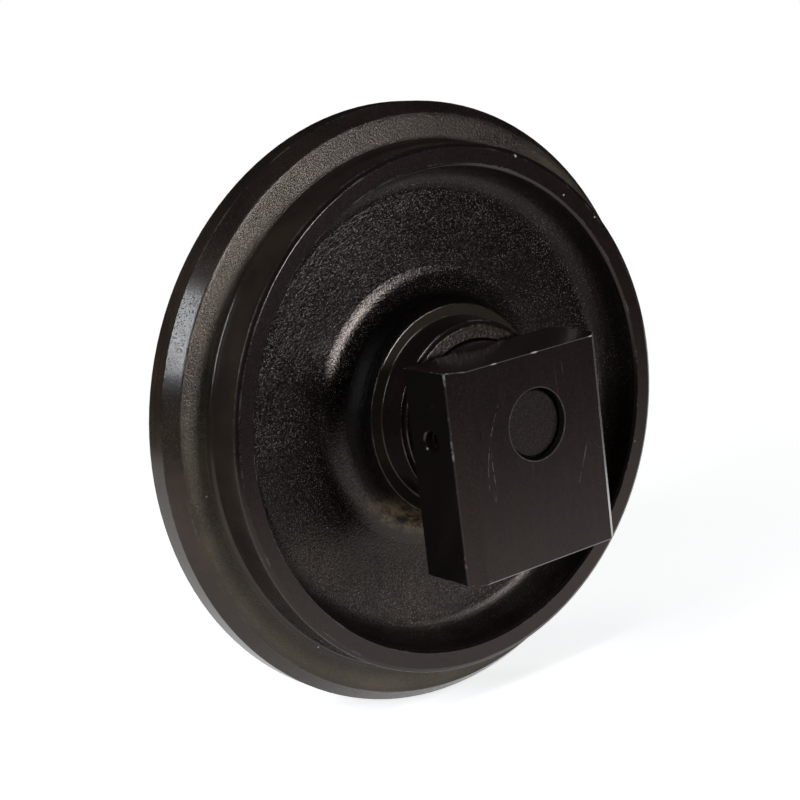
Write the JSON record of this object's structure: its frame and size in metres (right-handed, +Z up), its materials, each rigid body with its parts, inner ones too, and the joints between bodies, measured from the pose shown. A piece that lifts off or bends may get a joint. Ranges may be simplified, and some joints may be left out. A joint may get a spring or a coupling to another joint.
{
  "type": "excavator front idler",
  "caption": "Flanged cast idler wheel on a fixed shaft with oil seals and a rectangular sliding guide block on each end, which carries and tensions the track of a small excavator.",
  "frame": {"origin": "middle of the wheel, on the shaft's axis", "axes": "+Y along the shaft towards the left guide block, +Z up, +X forward along the track"},
  "size_m": [0.306, 0.1902, 0.306],
  "materials": {
    "painted_casting": "black semi-gloss paint on sand-cast and machined steel",
    "painted_steel": "black semi-gloss paint on machined steel",
    "seal_steel": "ground",
    "bearing_bronze": "satin bearing bronze",
    "seal_rubber": "matt"
  },
  "bodies": {
    "axle": {"shaft": "painted_steel", "left_guide_block": "painted_steel", "right_guide_block": "painted_steel", "left_lock_pin": "painted_steel", "right_lock_pin": "painted_steel", "left_block_seal_ring": "seal_steel", "right_block_seal_ring": "seal_steel", "left_block_seal_toric": "seal_rubber", "right_block_seal_toric": "seal_rubber", "left_shaft_o_ring": "seal_rubber", "right_shaft_o_ring": "seal_rubber"},
    "wheel": {"wheel": "painted_casting", "left_bush": "bearing_bronze", "right_bush": "bearing_bronze", "left_thrust_washer": "bearing_bronze", "right_thrust_washer": "bearing_bronze", "oil_plug": "painted_steel", "left_wheel_seal_ring": "seal_steel", "right_wheel_seal_ring": "seal_steel", "left_wheel_seal_toric": "seal_rubber", "right_wheel_seal_toric": "seal_rubber"}
  },
  "joints": [
    {"name": "wheel_spin", "type": "hinge", "parent": "axle", "child": "wheel", "pos_m": [0, 0, 0], "axis": [0, 1, 0], "continuous": true}
  ]
}
